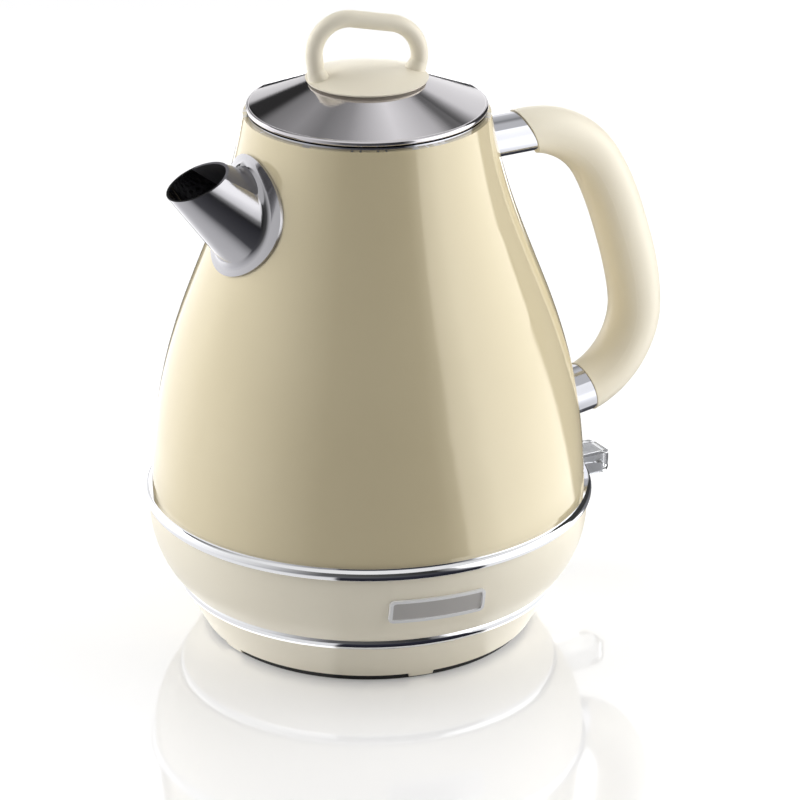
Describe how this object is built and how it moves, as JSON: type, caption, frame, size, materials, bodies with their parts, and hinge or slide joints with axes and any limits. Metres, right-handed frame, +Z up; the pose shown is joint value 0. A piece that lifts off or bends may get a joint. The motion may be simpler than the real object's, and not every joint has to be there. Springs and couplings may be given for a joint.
{
  "type": "cordless electric kettle",
  "caption": "Teardrop painted steel jug with a conical spout, D handle and loop-knobbed lift-off lid, on a bowl skirt and round power base that it lifts off.",
  "frame": {"origin": "on the table, at the jug's and base's common axis", "axes": "+Z up along the jug's axis, spout towards -X, handle towards +X"},
  "size_m": [0.2272, 0.18, 0.2559],
  "materials": {
    "paint": "gloss enamel",
    "cream_plastic": "satin moulded plastic",
    "polished": "polished",
    "steel": "brushed",
    "black_plastic": "moulded",
    "white_plastic": "moulded",
    "rubber": "moulded",
    "silicone": "moulded",
    "brass": "plain",
    "aluminium": "cast",
    "clear": "clear moulded plastic",
    "lamp": "clear neon lamp"
  },
  "bodies": {
    "power_base": {"base_shell": "cream_plastic", "base_trim_ring": "polished", "base_floor": "black_plastic", "foot_ring": "rubber", "base_screws": "steel", "base_connector": "black_plastic", "base_contacts": "brass", "cord_outlet": "black_plastic", "cord_clamp": "black_plastic", "clamp_screws": "steel"},
    "spout_filter": {"filter_frame": "white_plastic", "filter_mesh": "steel"},
    "trip_lever": {"trip_lever": "white_plastic"},
    "switch_lever": {"switch_lever": "clear"},
    "lid": {"lid_cover": "polished", "lid_liner": "black_plastic", "lid_gasket": "silicone", "lid_knob": "cream_plastic", "lid_screws": "steel"},
    "jug": {"skirt": "cream_plastic", "skirt_ring": "polished", "badge_plate": "polished", "jug_floor": "black_plastic", "floor_screws": "steel", "heater_studs": "steel", "body_shell": "paint", "rim_collar": "steel", "spout": "polished", "heater_plate": "steel", "heating_element": "steel", "heat_spreader": "aluminium", "control_housing": "black_plastic", "plug_contacts": "brass", "dry_boil_discs": "brass", "steam_disc": "brass", "steam_tube": "steel", "steam_seal": "silicone", "switch_pin": "steel", "indicator_lamp": "lamp", "handle_grip": "cream_plastic", "handle_cover": "cream_plastic", "handle_screws": "steel", "handle_brackets": "steel", "upper_ferrule": "polished", "lower_ferrule": "polished"}
  },
  "joints": [
    {"name": "jug_lift", "type": "slide", "parent": "power_base", "child": "jug", "axis": [0, 0, 1], "range_m": [0, 0.1]},
    {"name": "lid_lift", "type": "slide", "parent": "jug", "child": "lid", "axis": [0, 0, 1], "range_m": [0, 0.08]},
    {"name": "switch_press", "type": "hinge", "parent": "jug", "child": "switch_lever", "pos_m": [0.078, 0, 0.0455], "axis": [0, 1, 0], "range_deg": [0, 10]},
    {"name": "trip_turn", "type": "hinge", "parent": "jug", "child": "trip_lever", "pos_m": [0.05, 0, 0.0417], "axis": [0, 1, 0], "range_deg": [-8, 0]},
    {"name": "filter_slide", "type": "slide", "parent": "jug", "child": "spout_filter", "axis": [0.9432, 0, -0.3322], "range_m": [0, 0.012]}
  ],
  "couplings": [
    {"joint": "trip_turn", "follows": "switch_press", "ratio": -0.8}
  ]
}
